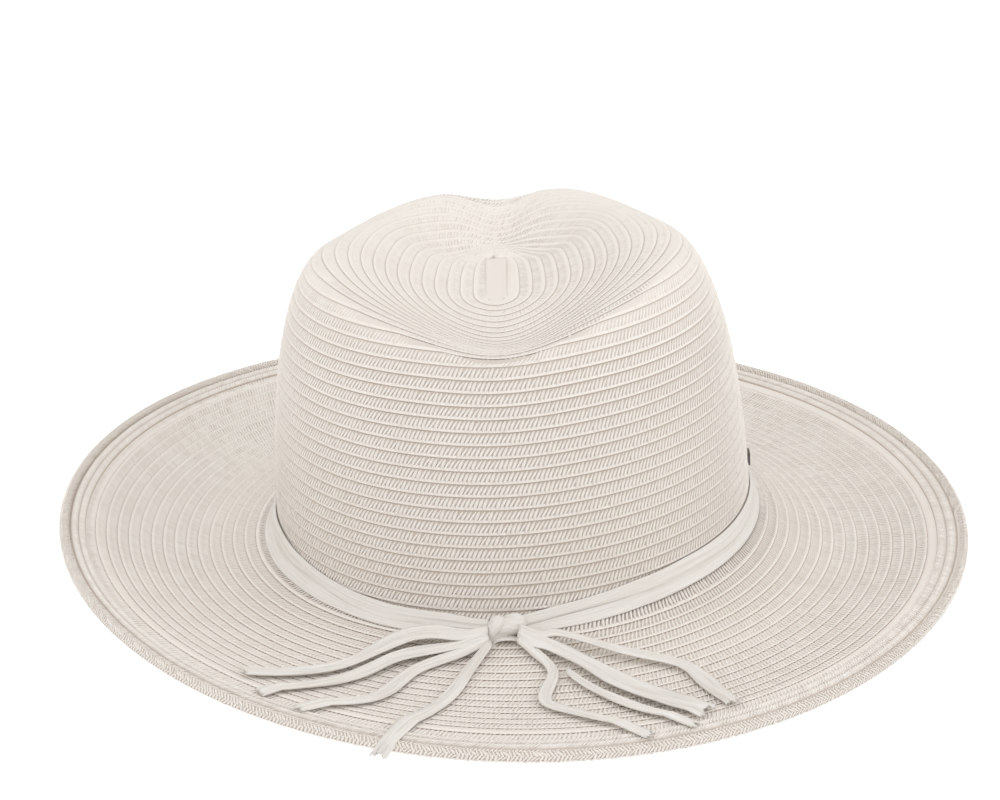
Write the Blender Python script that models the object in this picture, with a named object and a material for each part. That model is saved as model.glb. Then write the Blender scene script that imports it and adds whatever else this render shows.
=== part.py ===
import math

import bmesh
import bpy
import numpy as np
from mathutils import Vector

# Sizes in metres. +Z is up, -Y is the side with the knot, at the wearer's back, and +X
# is the wearer's right. The origin is the middle of the head opening, where crown and
# brim meet.

# Head opening and crown foot
HEAD_HALF_WIDTH = 0.086
HEAD_OVAL = 0.012
HEAD_HALF_LENGTH = HEAD_HALF_WIDTH + HEAD_OVAL
CROWN_TILT = math.radians(3.2)
FOOT_FLARE = 0.0038
FOOT_FLARE_HEIGHT = 0.0028

# Crown shape: mean, front-to-back, oval, three-lobed and four-lobed parts of each size
CREST_HEIGHT = (0.0991, 0.0007, 0.0042, -0.0026, -0.0007)
CREST_RUN = (0.0233, 0.0114, 0.0078, 0.0037, 0.0008)
DENT_SLOPE = (math.radians(6.5), math.radians(10.9), math.radians(-9.0), math.radians(-2.9), 0.0)
DENT_BELLY = (-0.0031, -0.0041, 0.0054, 0.0, 0.0)
DENT_REACH = (0.58, 0.115, 0.0, 0.0, 0.0)
CREST_REACH = 0.27
START_HEIGHT = 0.0849
START_RISE = 0.0014
# Pinches at front (+Y) and back (-Y): drop of the crest, push of the crest, half-angle
FRONT_PINCH = (0.0064, 0.0031, math.radians(14.9))
BACK_PINCH = (0.0014, 0.0094, math.radians(16.7))
WALL_POWER = 0.87

# The dent's rings start this share of its curve from the start strip. The wall's rings
# stand at these turns below the crest, then at these heights where it flares out.
STRIP_CLEARANCE = 0.0072
DENT_RINGS = 10
WALL_TURNS = (9.0, 18.0, 28.0, 38.0, 50.0, 63.0, 75.0)
FOOT_HEIGHTS = (0.0150, 0.0090, 0.0050, 0.0025, 0.0010, 0.0003)

# Braid
BRAID_THICKNESS = 0.0018
START_HALF_WIDTH = 0.0033
START_HALF_LENGTH = 0.016
OVAL_REACH = 0.060
FIT_GAP = 0.0003

# Brim: width, slope at the crown, curl, and the flatter hem at its edge
BRIM_WIDTH = 0.0712
BRIM_SLOPE = (0.394, 0.176, 0.0685)
BRIM_CURL = (13.7, 2.1, 4.2, 1.1)
HEM_WIDTH = 0.0127
HEM_START = BRIM_WIDTH - HEM_WIDTH
HEM_TURN = 0.38
BRIM_RINGS = 6

# Rolled edge, its wire and the sleeve over the wire's ends
ROLL_RADIUS = 0.0020
ROLL_WALL = 0.00055
ROLL_SLIT = math.radians(14.0)
ROLL_SIDES = 10
WIRE_RADIUS = 0.0005
WIRE_END_GAP = 0.0012
SLEEVE_WALL = 0.00025
SLEEVE_LENGTH = 0.016

# Sweatband, its butt joint at +Y and the tab over the joint
SWEATBAND_LOW = 0.004
SWEATBAND_HEIGHT = 0.028
SWEATBAND_THICKNESS = 0.0008
SWEATBAND_GAP = 0.0006
TAB_WIDTH = 0.014
TAB_MARGIN = 0.003

# Ribbon band: lower and upper ribbon
RIBBON_THICKNESS = 0.0018
LOWER_RIBBON = (0.0008, 0.0042)
UPPER_RIBBON = (0.0046, 0.0080)
KNOT_ANGLE = math.radians(-92.6)
KNOT_HALF_ANGLE = math.radians(5.9)
KNOT_HEIGHT = 0.0040

# Loose ribbon ends
TAIL_THICKNESS = 0.0006
TAIL_LIFT = 0.0014
TAIL_STEPS = 3

# Knot pieces: sideways, outward and upward of the band, long direction, then length,
# width and depth
KNOT_BUNDLES = {
    "knot_wrap": ((0.0016, 0.0036, 0.0018), (1.0, 0.0, -0.2), (0.0100, 0.0050, 0.0048)),
    "knot_lobe": ((-0.0068, 0.0036, 0.0008), (0.12, 0.0, 1.0), (0.0090, 0.0038, 0.0044)),
}
BUNDLE_PROFILE = ((-0.5, 0.35), (-0.42, 0.75), (-0.2, 1.0), (0.2, 1.0), (0.42, 0.75), (0.5, 0.35))
BUNDLE_SIDES = 10
LOOP_PLACE = (0.0022, 0.0042, -0.0026)
LOOP_HALF_WIDTH = 0.0036
LOOP_HALF_HEIGHT = 0.0009
LOOP_HALF_DEPTH = 0.0013
LOOP_WALL = 0.0005
LOOP_SIDES = 14

# Loose ends: each point is x in mm, distance past the head opening as a share of the
# brim's width, height over the brim in mm and the strip's width in mm
TAILS = {
    "tail_left_upper": (
        (-14, 0.07, 2.5, 4), (-26, 0.042, 3, 5), (-38, 0.056, 2, 5.5), (-56, 0.239, 0, 5),
        (-83, 0.379, 0, 4),
    ),
    "tail_left_inner": (
        (-14, 0.112, 1.5, 3), (-36, 0.169, 0.5, 4.5), (-52, 0.337, 0, 4.5), (-77, 0.562, 0, 3.5),
    ),
    "tail_left_lower": (
        (-13, 0.147, 0.5, 2.5), (-31, 0.267, 0, 3.5), (-44, 0.548, 0, 3.5), (-65, 0.688, 0, 3),
    ),
    "tail_over_edge": (
        (-9.5, 0.133, 0, 3), (-15, 0.309, 0, 3.5), (-22, 0.548, 0, 3.5), (-36, 0.871, 0, 4),
        (-39, 1.039, 3, 4),
    ),
    "tail_right_upper": (
        (14.5, 0.098, 2.5, 2.5), (32, 0.169, 1.5, 2.5), (51, 0.225, 0.5, 3), (58, 0.351, 0, 4.5),
        (65, 0.604, 0, 4.5),
    ),
    "tail_right_broad": (
        (11, 0.126, 1.5, 4), (21, 0.253, 1.5, 5), (34, 0.421, 1.2, 6), (46, 0.548, 0.8, 6),
        (57, 0.674, 0, 5.5),
    ),
    "tail_right_under": (
        (20.5, 0.393, 0, 2.5), (31, 0.534, 0, 3), (42, 0.674, 0, 3), (53, 0.772, 0, 3),
    ),
    "tail_folded": (
        (5.5, 0.14, 0, 2.5), (11.5, 0.309, 0, 2.5), (9, 0.548, 0, 3), (20, 0.674, 0, 3.5),
        (39, 0.857, 0, 3),
    ),
}

# Side badge: height over the foot, lean of the wall there, and height, width, thickness
BADGE_HEIGHT = 0.0147
BADGE_LEAN = math.radians(6.0)
BADGE_SIZE = (0.0045, 0.0050, 0.0006)

SEGMENTS = 60
MM = 0.001
STRAW = (0.80, 0.76, 0.70)
PAPER = (0.86, 0.83, 0.79)
LINING = (0.78, 0.75, 0.70)


def clear_scene():
    for old in list(bpy.data.objects):
        bpy.data.objects.remove(old, do_unlink=True)


def material(name, colour, roughness, metallic=0.0):
    made = bpy.data.materials.new(name)
    made.use_nodes = True
    shader = made.node_tree.nodes["Principled BSDF"]
    shader.inputs["Base Color"].default_value = (*colour, 1.0)
    shader.inputs["Roughness"].default_value = roughness
    shader.inputs["Metallic"].default_value = metallic
    return made


def add_object(name, vertices, faces, colour, roughness, metallic=0.0):
    mesh = bpy.data.meshes.new(name)
    mesh.from_pydata([tuple(map(float, v)) for v in vertices], [], faces)
    work = bmesh.new()
    work.from_mesh(mesh)
    bmesh.ops.triangulate(work, faces=work.faces)
    bmesh.ops.recalc_face_normals(work, faces=work.faces)
    work.to_mesh(mesh)
    work.free()
    mesh.materials.append(material(name, colour, roughness, metallic))
    made = bpy.data.objects.new(name, mesh)
    bpy.context.collection.objects.link(made)
    return made


def harmonics(parts, angle):
    waves = (1.0, np.sin(angle), np.cos(2 * angle), np.sin(3 * angle), np.cos(4 * angle))
    return sum(size * wave for size, wave in zip(parts, waves))


def crest(angle):
    # Distance out and height of the crown's highest line.
    height = harmonics(CREST_HEIGHT, angle)
    reach = HEAD_HALF_WIDTH - FOOT_FLARE - harmonics(CREST_RUN, angle)
    for (drop, push, spread), centre in ((FRONT_PINCH, math.pi / 2), (BACK_PINCH, -math.pi / 2)):
        turn = np.angle(np.exp(1j * (angle - centre)))
        share = np.exp(-((turn / spread) ** 2))
        height = height - drop * share
        reach = reach + push * share
    return reach, height


def dent_point(angle, t):
    # From the start strip (t = 0) up to the crest (t = 1), as a Bezier curve.
    reach, height = crest(angle)
    slope = harmonics(DENT_SLOPE, angle)
    span = reach - START_HALF_WIDTH
    start = START_HEIGHT + START_RISE * np.sin(angle)
    b0, b1, b2, b3 = (1 - t) ** 3, 3 * t * (1 - t) ** 2, 3 * t * t * (1 - t), t**3
    handle = span * harmonics(DENT_REACH, angle)
    out = b0 * START_HALF_WIDTH + b1 * (START_HALF_WIDTH + handle * np.cos(slope))
    out = out + b2 * (reach - span * CREST_REACH) + b3 * reach
    up = b0 * start + b1 * (start + handle * np.sin(slope)) + (b2 + b3) * height
    share = (out - START_HALF_WIDTH) / span
    return out, up + 16 * share**2 * (1 - share) ** 2 * harmonics(DENT_BELLY, angle)


def wall_point(angle, height_above_foot):
    # On the crown's outer wall at a height, or at the crest where the wall is lower.
    reach, height = crest(angle)
    rise = np.clip(height_above_foot / height, 0.0, 1.0)
    out = reach + (HEAD_HALF_WIDTH - FOOT_FLARE - reach) * (1 - rise**2) ** (WALL_POWER / 2)
    out = out + FOOT_FLARE * np.exp(-height_above_foot / FOOT_FLARE_HEIGHT)
    return out, height_above_foot + 0.0 * angle


def place_crown(angle, out, up):
    # Round the start strip the rows are long ovals; at the foot they are the head's oval.
    share = np.clip(out / OVAL_REACH, 0.0, 1.0)
    share = share * share * (3 - 2 * share)
    blunt = np.tanh(3 * np.sin(angle)) / math.tanh(3)
    stretch = START_HALF_LENGTH * (1 - share) * blunt
    stretch = stretch + (HEAD_HALF_LENGTH - HEAD_HALF_WIDTH) * share * np.sin(angle)
    x = out * np.cos(angle)
    y = out * np.sin(angle) + stretch
    c, s = math.cos(CROWN_TILT), math.sin(CROWN_TILT)
    return np.stack([x * c - up * s, y, up * c + x * s], -1)


def brim_height(angle, r):
    slope = BRIM_SLOPE[0] + BRIM_SLOPE[1] * np.cos(angle) + BRIM_SLOPE[2] * np.sin(angle)
    curl = BRIM_CURL[0] + BRIM_CURL[1] * np.cos(angle) + BRIM_CURL[2] * np.sin(angle)
    curl = curl + BRIM_CURL[3] * np.cos(2 * angle)
    foot = HEAD_HALF_WIDTH * np.cos(angle) * math.sin(CROWN_TILT)
    hem = HEM_TURN * np.maximum(r - HEM_START, 0.0)
    return foot - slope * r + 0.5 * curl * r * r - hem


def brim_point(angle, r):
    x = (HEAD_HALF_WIDTH + r) * np.cos(angle)
    y = (HEAD_HALF_LENGTH + r) * np.sin(angle)
    return np.stack([x, y, brim_height(angle, r) + 0.0 * x], -1)


def brim_over(x, y):
    # Height of the brim's top over a point of the plan.
    low, high = -0.02, 0.10
    for _ in range(40):
        r = 0.5 * (low + high)
        inside = (x / (HEAD_HALF_WIDTH + r)) ** 2 + (y / (HEAD_HALF_LENGTH + r)) ** 2
        low, high = (r, high) if inside > 1.0 else (low, r)
    angle = math.atan2(y / (HEAD_HALF_LENGTH + r), x / (HEAD_HALF_WIDTH + r))
    return float(brim_height(angle, max(r, 0.0)))


def inward(grid, depth, closed=True):
    # The same grid moved a depth in along the surface's normals.
    if closed:
        along = np.roll(grid, -1, axis=1) - np.roll(grid, 1, axis=1)
    else:
        along = np.gradient(grid, axis=1)
    across = np.gradient(grid, axis=0)
    normal = np.cross(along, across)
    normal /= np.linalg.norm(normal, axis=2, keepdims=True)
    return grid + depth * normal


def grid_faces(rows, columns, first, wrap):
    faces = []
    for i in range(rows - 1):
        for j in range(columns if wrap else columns - 1):
            k = (j + 1) % columns
            a = first + i * columns
            faces.append((a + j, a + k, a + columns + k, a + columns + j))
    return faces


def add_shell(name, top, under, colour, roughness, wrap=True):
    rows, columns = top.shape[:2]
    count = rows * columns
    vertices = np.concatenate([top.reshape(-1, 3), under.reshape(-1, 3)])
    faces = grid_faces(rows, columns, 0, wrap) + grid_faces(rows, columns, count, wrap)
    for j in range(columns if wrap else columns - 1):
        k = (j + 1) % columns
        for row in (0, rows - 1):
            a = row * columns
            faces.append((a + j, a + k, count + a + k, count + a + j))
    if not wrap:
        for i in range(rows - 1):
            for j in (0, columns - 1):
                a, b = i * columns + j, (i + 1) * columns + j
                faces.append((a, b, count + b, count + a))
    return add_object(name, vertices, faces, colour, roughness)


def add_sweep(name, rings, colour, roughness, metallic=0.0, closed=False):
    # A closed body from equal rings of points; closed joins the last ring to the first.
    rings = np.asarray(rings)
    count, points = rings.shape[:2]
    faces = []
    for i in range(count if closed else count - 1):
        a, b = i * points, ((i + 1) % count) * points
        for j in range(points):
            k = (j + 1) % points
            faces.append((a + j, a + k, b + k, b + j))
    if not closed:
        faces.append(tuple(range(points)))
        faces.append(tuple((count - 1) * points + j for j in range(points)))
    return add_object(name, rings.reshape(-1, 3), faces, colour, roughness, metallic)


def ring_angles():
    return np.linspace(0.0, 2 * math.pi, SEGMENTS, endpoint=False)


def turns_from_joint(gap):
    # Once round from one side of a joint at +Y to its other side.
    turns = ring_angles() + math.pi / 2
    return np.concatenate([[turns[0] + gap / 2], turns[1:], [turns[0] + 2 * math.pi - gap / 2]])


def build_crown():
    angle = ring_angles()[None, :]
    t = np.linspace(STRIP_CLEARANCE, 1.0, DENT_RINGS)[:, None]
    inner = place_crown(angle, *dent_point(angle, t))
    upper = crest(angle)[1] * np.cos(np.radians(WALL_TURNS)[:, None])
    foot = np.array(FOOT_HEIGHTS)[:, None] + 0.0 * angle
    outer = place_crown(angle, *wall_point(angle, np.concatenate([upper, foot])))
    top = np.concatenate([inner, outer])
    add_shell("crown_braid", top, inward(top, BRAID_THICKNESS), STRAW, 0.75)


def build_start_strip():
    angle = ring_angles()
    out, up = dent_point(angle, 0.0)
    rim = place_crown(angle, out - 0.6 * FIT_GAP, up)
    drop = np.array([0.0, 0.0, BRAID_THICKNESS])
    add_sweep("crown_start_strip", [rim, rim - drop], STRAW, 0.75)


def build_brim():
    angle = ring_angles()[None, :]
    edge = BRIM_WIDTH - 2 * ROLL_RADIUS - FIT_GAP
    rings = np.linspace(2 * FIT_GAP, HEM_START, BRIM_RINGS)
    r = np.append(rings, edge)[:, None]
    top = brim_point(angle, r)
    add_shell("brim_braid", top, inward(top, BRAID_THICKNESS), STRAW, 0.75)


def edge_frames(angles):
    centre = brim_point(angles, BRIM_WIDTH - ROLL_RADIUS) - np.array([0.0, 0.0, BRAID_THICKNESS / 2])
    out = np.stack([np.cos(angles), np.sin(angles), 0 * angles], -1)
    up = np.array([0.0, 0.0, 1.0])
    return centre, out, up


def round_ring(frame, radius, points, i):
    centre, out, up = frame
    turns = [2 * math.pi * k / points for k in range(points)]
    return [centre[i] + radius * (math.cos(a) * out[i] + math.sin(a) * up) for a in turns]


def build_edge():
    centre, out, up = edge_frames(ring_angles())
    sweep = np.linspace(math.pi + ROLL_SLIT, 3 * math.pi - ROLL_SLIT, ROLL_SIDES + 1)
    rings = []
    for i in range(SEGMENTS):
        outer = [centre[i] + ROLL_RADIUS * (math.cos(a) * out[i] + math.sin(a) * up) for a in sweep]
        hollow = ROLL_RADIUS - ROLL_WALL
        inner = [centre[i] + hollow * (math.cos(a) * out[i] + math.sin(a) * up) for a in sweep[::-1]]
        rings.append(outer + inner)
    add_sweep("brim_edge_roll", rings, STRAW, 0.7, closed=True)

    # The wire's two ends meet at +Y, inside the sleeve.
    reach = HEAD_HALF_LENGTH + BRIM_WIDTH
    turns = turns_from_joint(WIRE_END_GAP / reach)
    frame = edge_frames(turns)
    wire = [round_ring(frame, WIRE_RADIUS, 6, i) for i in range(len(turns))]
    add_sweep("brim_wire", wire, (0.55, 0.56, 0.58), 0.35, 1.0)

    half = SLEEVE_LENGTH / 2 / reach
    frame = edge_frames(math.pi / 2 + np.array([-half, 0.0, half]))
    bore = WIRE_RADIUS + FIT_GAP
    rings = [round_ring(frame, bore + SLEEVE_WALL, 12, i) for i in range(3)]
    rings += [round_ring(frame, bore, 12, i) for i in (2, 1, 0)]
    add_sweep("wire_joiner", rings, (0.60, 0.60, 0.61), 0.4, 1.0, closed=True)


def lining_layer(turns, depth, heights):
    # The crown wall's own surface moved in towards the head.
    wall = place_crown(turns[None, :], *wall_point(turns[None, :], heights[:, None]))
    away = np.stack([np.cos(turns), np.sin(turns), 0 * turns], -1)[None]
    return wall - depth * away


def build_sweatband():
    depth = BRAID_THICKNESS + 2 * FIT_GAP
    turns = turns_from_joint(SWEATBAND_GAP / HEAD_HALF_LENGTH)
    heights = np.linspace(SWEATBAND_LOW, SWEATBAND_LOW + SWEATBAND_HEIGHT, 4)
    top = lining_layer(turns, depth, heights)
    under = lining_layer(turns, depth + SWEATBAND_THICKNESS, heights)
    add_shell("sweatband", top, under, LINING, 0.85, wrap=False)

    half = TAB_WIDTH / 2 / HEAD_HALF_LENGTH
    turns = math.pi / 2 + np.array([-half, 0.0, half])
    heights = np.linspace(heights[0] + TAB_MARGIN, heights[-1] - TAB_MARGIN, 3)
    depth += SWEATBAND_THICKNESS + 2 * FIT_GAP
    top = lining_layer(turns, depth, heights)
    under = lining_layer(turns, depth + SWEATBAND_THICKNESS, heights)
    add_shell("sweatband_tab", top, under, LINING, 0.8, wrap=False)


def build_ribbon(name, span, angles):
    # A soft ribbon round the crown's foot: flat against the wall, bulging outside.
    low, high = span
    rings = []
    for a in angles:
        section = []
        for height, bulge in ((low, 0.0), (low, 0.6), (0.5 * (low + high), 1.0), (high, 0.6), (high, 0.0)):
            out, up = wall_point(a, height)
            foot = wall_point(a, low)[0]
            base = max(out, foot) + 2 * FIT_GAP
            section.append(place_crown(a, base + bulge * RIBBON_THICKNESS, up))
        rings.append(section)
    add_sweep(name, rings, PAPER, 0.6)


def knot_point(sideways, outward, upward):
    out, up = wall_point(KNOT_ANGLE, KNOT_HEIGHT)
    base = place_crown(KNOT_ANGLE, out, up)
    return Vector((float(base[0]) + sideways, float(base[1]) - outward, float(base[2]) + upward))


def build_bundle(name, centre, direction, size):
    # A short rounded bundle of ribbon; depth is measured outward.
    length, width, depth = size
    along = Vector(direction).normalized()
    out = Vector((math.cos(KNOT_ANGLE), math.sin(KNOT_ANGLE), 0.0))
    side = along.cross(out).normalized()
    out = side.cross(along).normalized()
    rings = []
    for t, full in BUNDLE_PROFILE:
        ring = []
        for k in range(BUNDLE_SIDES):
            a = 2 * math.pi * k / BUNDLE_SIDES
            point = centre + along * (t * length) + side * (math.cos(a) * full * width / 2)
            ring.append(tuple(point + out * (math.sin(a) * full * depth / 2)))
        rings.append(ring)
    add_sweep(name, rings, PAPER, 0.6)


def build_knot():
    for name, (place, direction, size) in KNOT_BUNDLES.items():
        sideways, outward, upward = place
        build_bundle(name, knot_point(sideways, outward, upward), direction, size)
    sideways, outward, upward = LOOP_PLACE
    middle = knot_point(sideways, outward, upward)
    rings = []
    for k in range(LOOP_SIDES):
        a = 2 * math.pi * k / LOOP_SIDES
        ray = Vector((math.cos(a), 0.0, math.sin(a)))
        reach = Vector((LOOP_HALF_WIDTH * ray.x, 0.0, LOOP_HALF_HEIGHT * ray.z))
        ring = []
        for b in np.linspace(0.0, 2 * math.pi, 6, endpoint=False):
            wall = ray * (LOOP_WALL * math.cos(b)) + Vector((0.0, LOOP_HALF_DEPTH * math.sin(b), 0.0))
            ring.append(tuple(middle + reach + wall))
        rings.append(ring)
    add_sweep("knot_loop", rings, PAPER, 0.6, closed=True)


def smooth_path(points, steps):
    # Catmull-Rom curve through plan points (x, y, lift, width).
    points = [np.array(p, float) for p in points]
    points = [2 * points[0] - points[1]] + points + [2 * points[-1] - points[-2]]
    made = []
    for i in range(1, len(points) - 2):
        p0, p1, p2, p3 = points[i - 1 : i + 3]
        for k in range(steps):
            t = k / steps
            made.append(
                0.5 * (2 * p1 + (p2 - p0) * t + (2 * p0 - 5 * p1 + 4 * p2 - p3) * t * t)
                + 0.5 * (3 * p1 - p0 - 3 * p2 + p3) * t**3
            )
    made.append(points[-2])
    return made


def build_tail(name, route):
    points = []
    for x, far, lift, wide in route:
        points.append((x * MM, -HEAD_HALF_LENGTH - far * BRIM_WIDTH, lift * MM, wide * MM))
    path = smooth_path(points, TAIL_STEPS)
    rings = []
    for i, (x, y, lift, width) in enumerate(path):
        ahead = path[min(i + 1, len(path) - 1)] - path[max(i - 1, 0)]
        side = np.array([ahead[1], -ahead[0]]) / math.hypot(ahead[0], ahead[1])
        ring = []
        for across, level in ((-0.5, 0.0), (0.5, 0.0), (0.5, 1.0), (-0.5, 1.0)):
            px, py = np.array([x, y]) + side * across * width
            ring.append((px, py, brim_over(px, py) + TAIL_LIFT + lift + level * TAIL_THICKNESS))
        rings.append(ring)
    add_sweep(name, rings, PAPER, 0.55)


def build_badge():
    # A small blank plate that stands on the crown's wall at +X.
    base, up = wall_point(0.0, BADGE_HEIGHT)
    lean = BADGE_LEAN - CROWN_TILT
    out = np.array([math.cos(lean), 0.0, math.sin(lean)])
    rise = np.array([-math.sin(lean), 0.0, math.cos(lean)])
    along = np.array([0.0, 1.0, 0.0])
    middle = place_crown(0.0, base, up) + out * (2 * FIT_GAP + BADGE_SIZE[2] / 2)
    corners = ((-1, -1), (1, -1), (1, 1), (-1, 1))
    ring = [middle + a * rise * BADGE_SIZE[0] / 2 + b * along * BADGE_SIZE[1] / 2 for a, b in corners]
    half = out * BADGE_SIZE[2] / 2
    rings = [[p - half for p in ring], [p + half for p in ring]]
    add_sweep("side_badge", rings, (0.30, 0.30, 0.31), 0.35, 1.0)


def build():
    clear_scene()
    build_crown()
    build_start_strip()
    build_brim()
    build_edge()
    build_sweatband()
    start = KNOT_ANGLE + KNOT_HALF_ANGLE
    end = KNOT_ANGLE - KNOT_HALF_ANGLE + 2 * math.pi
    angles = np.linspace(start, end, SEGMENTS)
    build_ribbon("band_ribbon_lower", LOWER_RIBBON, angles)
    build_ribbon("band_ribbon_upper", UPPER_RIBBON, angles)
    build_knot()
    for name, route in TAILS.items():
        build_tail(name, route)
    build_badge()


build()
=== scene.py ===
import math

import bpy
import numpy as np
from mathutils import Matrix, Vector


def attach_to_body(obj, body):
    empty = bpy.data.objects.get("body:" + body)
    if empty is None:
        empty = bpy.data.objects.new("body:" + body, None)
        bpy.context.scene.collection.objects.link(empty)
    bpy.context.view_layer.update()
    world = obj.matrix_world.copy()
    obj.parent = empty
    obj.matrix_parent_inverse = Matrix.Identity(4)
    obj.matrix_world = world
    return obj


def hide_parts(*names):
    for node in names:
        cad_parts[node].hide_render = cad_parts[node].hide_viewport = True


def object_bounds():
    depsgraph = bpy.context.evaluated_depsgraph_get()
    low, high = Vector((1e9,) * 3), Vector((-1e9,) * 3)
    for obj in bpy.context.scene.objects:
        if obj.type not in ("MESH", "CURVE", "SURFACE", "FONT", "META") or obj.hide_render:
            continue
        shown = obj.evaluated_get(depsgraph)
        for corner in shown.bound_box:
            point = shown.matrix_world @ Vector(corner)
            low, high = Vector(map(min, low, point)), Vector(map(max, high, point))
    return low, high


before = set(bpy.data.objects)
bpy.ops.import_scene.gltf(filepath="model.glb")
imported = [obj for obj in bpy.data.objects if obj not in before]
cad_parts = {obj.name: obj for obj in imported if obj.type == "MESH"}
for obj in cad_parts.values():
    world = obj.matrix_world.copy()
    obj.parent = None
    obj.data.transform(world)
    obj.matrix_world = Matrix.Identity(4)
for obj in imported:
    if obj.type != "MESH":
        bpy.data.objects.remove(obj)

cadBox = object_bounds()
mm = 0.001

view = {
    "lens": 92.24,
    "sensor": 36.0,
    "place": (-0.00482, -0.8286, 0.3533),
    "pitch": 69.31,      # degrees from straight down
}


def placeCamera():
    data = bpy.data.cameras.new("hatCamera")
    data.lens = view["lens"]
    data.sensor_width = view["sensor"]
    data.clip_start = 0.01
    made = bpy.data.objects.new("hatCamera", data)
    made.location = view["place"]
    made.rotation_euler = (math.radians(view["pitch"]), 0.0, 0.0)
    bpy.context.scene.collection.objects.link(made)
    bpy.context.scene.camera = made


placeCamera()
print("camera placed")


def addNode(tree, kind, settings=None, inputs=None):
    node = tree.nodes.new(kind)
    for name, value in (settings or {}).items():
        setattr(node, name, value)
    for key, value in (inputs or {}).items():
        if isinstance(value, bpy.types.NodeSocket):
            tree.links.new(value, node.inputs[key])
        else:
            node.inputs[key].default_value = value
    return node


def hexColour(text):
    parts = [int(text[i : i + 2], 16) / 255 for i in (0, 2, 4)]
    return tuple(p / 12.92 if p <= 0.04045 else ((p + 0.055) / 1.055) ** 2.4 for p in parts) + (1.0,)


def newMaterial(name, roughness, metallic=0.0, sheen=0.0):
    made = bpy.data.materials.new(name)
    made.use_nodes = True
    shader = made.node_tree.nodes["Principled BSDF"]
    shader.inputs["Roughness"].default_value = roughness
    shader.inputs["Metallic"].default_value = metallic
    shader.inputs["Sheen Weight"].default_value = sheen
    return made, made.node_tree, shader


def mixColours(tree, share, low, high):
    node = addNode(tree, "ShaderNodeMix", {"data_type": "RGBA"})
    for index, value in ((0, share), (6, low), (7, high)):
        if isinstance(value, bpy.types.NodeSocket):
            tree.links.new(value, node.inputs[index])
        else:
            node.inputs[index].default_value = value
    return node.outputs[2]


braidLook = {
    "light": "FAF6F1",
    "shade": "EEE7DF",
    "groove": "A38B78",      # painted shade: the dark colour of the gaps between the strands and under each lip
    "patchSize": 0.030,
    "fibreSize": 0.0005,     # paper fibres are finer; drawn as coarse as shows
    "roughness": 0.72,
}


# Twisted kraft paper yarn, bleached and machine braided: matte, faintly mottled
def braidMaterial():
    made, tree, shader = newMaterial("twistedPaperBraid", braidLook["roughness"], sheen=0.05)
    place = addNode(tree, "ShaderNodeTexCoord").outputs["Object"]
    patch = addNode(tree, "ShaderNodeTexNoise", inputs={
        "Vector": place, "Scale": 1 / braidLook["patchSize"], "Detail": 3.0})
    shade = addNode(tree, "ShaderNodeAttribute", {"attribute_name": "shade"}).outputs["Fac"]
    groove = addNode(tree, "ShaderNodeAttribute", {"attribute_name": "groove"}).outputs["Fac"]
    fibre = addNode(tree, "ShaderNodeTexNoise", inputs={
        "Vector": place, "Scale": 1 / braidLook["fibreSize"], "Detail": 2.0})
    mottle = addNode(tree, "ShaderNodeMath", {"operation": "MULTIPLY_ADD"}, {
        0: fibre.outputs["Fac"], 1: 0.5, 2: shade})
    spread = addNode(tree, "ShaderNodeMath", {"operation": "MULTIPLY_ADD", "use_clamp": True}, {
        0: patch.outputs["Fac"], 1: 0.5, 2: mottle.outputs[0]})
    base = mixColours(tree, spread.outputs[0], hexColour(braidLook["light"]), hexColour(braidLook["shade"]))
    # Painted shade: the groove attribute darkens the gaps between the strands and the line under each lip
    colour = mixColours(tree, groove, base, hexColour(braidLook["groove"]))
    tree.links.new(colour, shader.inputs["Base Color"])
    bump = addNode(tree, "ShaderNodeBump", inputs={
        "Strength": 0.35, "Distance": 0.00015, "Height": fibre.outputs["Fac"]})
    tree.links.new(bump.outputs["Normal"], shader.inputs["Normal"])
    return made


ribbonLook = {
    "light": "EFECE8",
    "shade": "DFD9D0",
    "fibreWidth": 0.00035,
    "fibreLength": 0.020,
    "roughness": 0.58,
}


# Unwound paper raffia: soft, silky along its fibres, creased lengthwise
def ribbonMaterial():
    made, tree, shader = newMaterial("paperRaffiaRibbon", ribbonLook["roughness"], sheen=0.15)
    lay = addNode(tree, "ShaderNodeUVMap", {"uv_map": "lay"}).outputs["UV"]
    stretch = addNode(tree, "ShaderNodeMapping", inputs={
        "Vector": lay, "Scale": (1 / ribbonLook["fibreLength"], 1 / ribbonLook["fibreWidth"], 1.0)})
    fibre = addNode(tree, "ShaderNodeTexNoise", inputs={
        "Vector": stretch.outputs["Vector"], "Scale": 1.0, "Detail": 3.0})
    ramp = addNode(tree, "ShaderNodeMapRange", inputs={
        "Value": fibre.outputs["Fac"], "From Min": 0.35, "From Max": 0.75})
    light, shade = hexColour(ribbonLook["light"]), hexColour(ribbonLook["shade"])
    colour = mixColours(tree, ramp.outputs["Result"], light, shade)
    tree.links.new(colour, shader.inputs["Base Color"])
    bump = addNode(tree, "ShaderNodeBump", inputs={
        "Strength": 0.5, "Distance": 0.0002, "Height": fibre.outputs["Fac"]})
    tree.links.new(bump.outputs["Normal"], shader.inputs["Normal"])
    return made


# Cotton twill tape: diagonal ribs about 0.8 mm apart
def twillMaterial():
    made, tree, shader = newMaterial("cottonTwillTape", 0.85, sheen=0.2)
    lay = addNode(tree, "ShaderNodeUVMap", {"uv_map": "lay"}).outputs["UV"]
    rib = addNode(tree, "ShaderNodeTexWave", {"bands_direction": "DIAGONAL"}, {
        "Vector": lay, "Scale": 1 / 0.0165, "Distortion": 0.3})
    colour = mixColours(tree, rib.outputs["Fac"], hexColour("D9D2C6"), hexColour("EFEAE1"))
    tree.links.new(colour, shader.inputs["Base Color"])
    bump = addNode(tree, "ShaderNodeBump", inputs={
        "Strength": 0.6, "Distance": 0.0002, "Height": rib.outputs["Fac"]})
    tree.links.new(bump.outputs["Normal"], shader.inputs["Normal"])
    return made


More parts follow.
